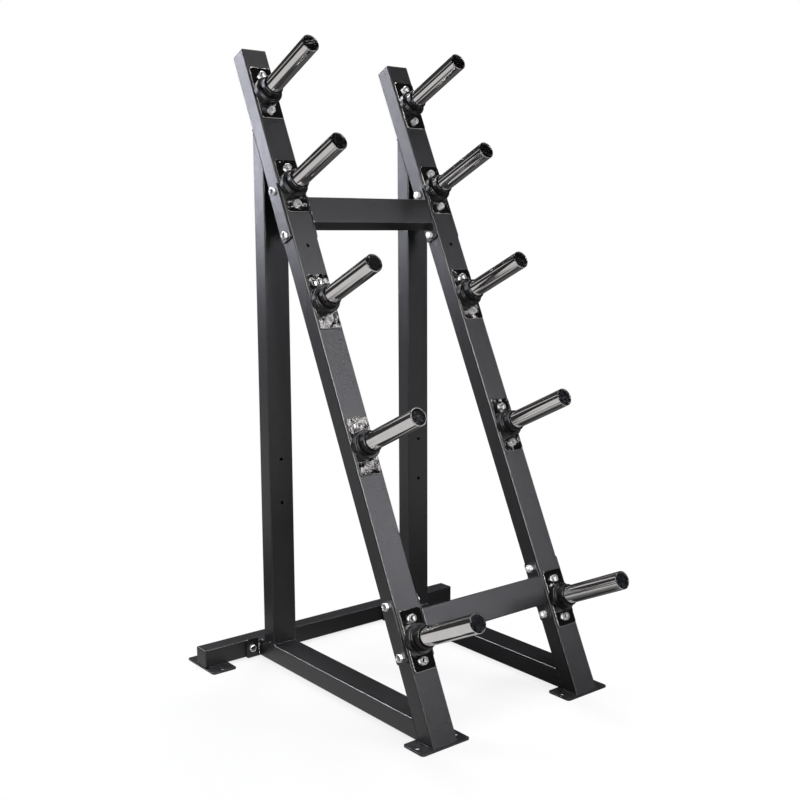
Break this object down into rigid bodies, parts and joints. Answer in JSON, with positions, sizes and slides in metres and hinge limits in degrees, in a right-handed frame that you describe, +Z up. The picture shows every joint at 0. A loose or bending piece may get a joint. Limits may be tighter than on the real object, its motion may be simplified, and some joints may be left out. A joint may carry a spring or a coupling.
{
  "type": "plate tree",
  "caption": "Free-standing rack for barbell weight plates: leaning steel uprights carry chromed pegs with rubber collars, braced by vertical legs, cross rails and a bolted rear beam.",
  "frame": {"origin": "on the floor, under the middle of the bounding box", "axes": "+Z up; -Y towards the person who loads the plates, the way the pegs point; +X to that person's right"},
  "size_m": [0.9266, 1.0184, 1.7211],
  "materials": {
    "frame": "charcoal powder coat, fine texture, satin",
    "cap": "satin moulded cap",
    "post": "bright chrome plate",
    "collar": "satin rubber",
    "plug": "gloss moulded plug"
  },
  "bodies": {
    "root": {"front_upright_left": "frame", "rear_upright_left": "frame", "base_rail_left": "frame", "front_foot_left": "frame", "rear_flange_left": "frame", "crossmember_foot_left": "frame", "upright_cap_left": "cap", "crossmember_cap_left": "cap", "lower_rail_flange_left": "frame", "lower_backing_plate_left": "frame", "upper_rail_flange_left": "frame", "upper_backing_plate_left": "frame", "post_left_1": "post", "collar_left_1": "collar", "post_plug_left_1": "plug", "post_left_2": "post", "collar_left_2": "collar", "post_plug_left_2": "plug", "post_left_3": "post", "collar_left_3": "collar", "post_plug_left_3": "plug", "post_left_4": "post", "collar_left_4": "collar", "post_plug_left_4": "plug", "post_left_5": "post", "collar_left_5": "collar", "post_plug_left_5": "plug", "front_upright_right": "frame", "rear_upright_right": "frame", "base_rail_right": "frame", "front_foot_right": "frame", "rear_flange_right": "frame", "crossmember_foot_right": "frame", "upright_cap_right": "cap", "crossmember_cap_right": "cap", "lower_rail_flange_right": "frame", "lower_backing_plate_right": "frame", "upper_rail_flange_right": "frame", "upper_backing_plate_right": "frame", "post_right_1": "post", "collar_right_1": "collar", "post_plug_right_1": "plug", "post_right_2": "post", "collar_right_2": "collar", "post_plug_right_2": "plug", "post_right_3": "post", "collar_right_3": "collar", "post_plug_right_3": "plug", "post_right_4": "post", "collar_right_4": "collar", "post_plug_right_4": "plug", "post_right_5": "post", "collar_right_5": "collar", "post_plug_right_5": "plug", "rear_crossmember": "frame", "lower_rail": "frame", "upper_rail": "frame"}
  },
  "joints": []
}
